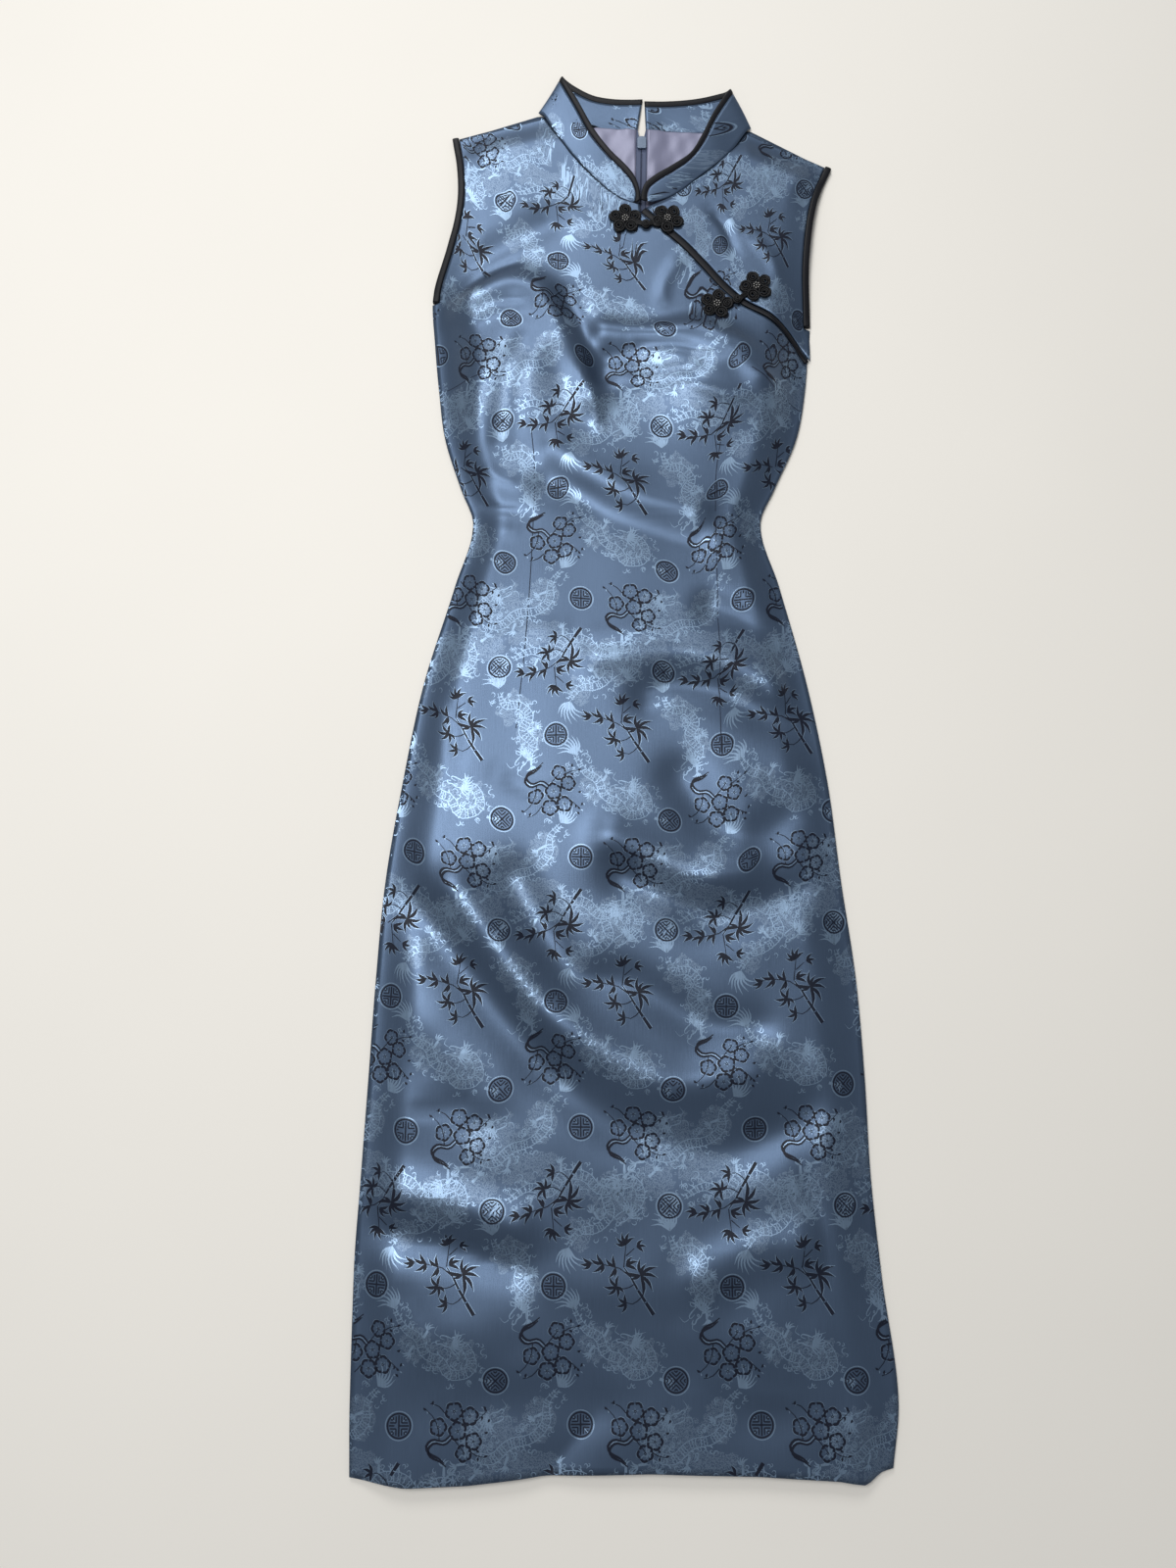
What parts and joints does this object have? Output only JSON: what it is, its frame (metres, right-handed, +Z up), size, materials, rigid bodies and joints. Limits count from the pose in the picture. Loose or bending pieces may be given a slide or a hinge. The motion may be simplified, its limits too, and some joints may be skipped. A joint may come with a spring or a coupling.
{
  "type": "cheongsam dress",
  "caption": "Long sleeveless cheongsam of satin brocade laid flat, with a mandarin collar, a diagonal front opening, frog fastenings and a zip at the centre back.",
  "frame": {"origin": "on the surface the dress lies on, under the middle of its bounding box", "axes": "+Z up from the surface through the dress, +Y towards the neck, +X to the right of someone who looks down at the front"},
  "size_m": [0.457, 1.3072, 0.0379],
  "materials": {
    "brocade": "satin jacquard with a sheen",
    "binding": "black satin bias binding",
    "cord": "black satin cord, coiled",
    "lining": "smooth lining satin",
    "tape": "woven zip tape",
    "slider": "enamel, dull"
  },
  "bodies": {
    "dress": {"armhole_binding_left": "binding", "armhole_binding_right": "binding", "back_left": "brocade", "back_right": "brocade", "collar_binding_left": "binding", "collar_binding_right": "binding", "collar_left": "brocade", "collar_right": "brocade", "frog_1_flower_left": "cord", "frog_1_flower_right": "cord", "frog_1_knot": "cord", "frog_1_loop": "cord", "frog_1_stem": "cord", "frog_2_flower_left": "cord", "frog_2_flower_right": "cord", "frog_2_knot": "cord", "frog_2_loop": "cord", "frog_2_stem": "cord", "front_main": "brocade", "front_shoulder": "brocade", "neck_lining_left": "lining", "neck_lining_right": "lining", "placket_binding": "binding", "zip_slider": "slider", "zip_tape_left": "tape", "zip_tape_right": "tape"},
    "pull_tab": {"pull_tab": "slider"}
  },
  "joints": [
    {"name": "pull_tab_hinge", "type": "hinge", "parent": "dress", "child": "pull_tab", "pos_m": [0.02327, 0.582, 0.0015], "axis": [1, 0, 0], "range_deg": [0, 165]}
  ]
}
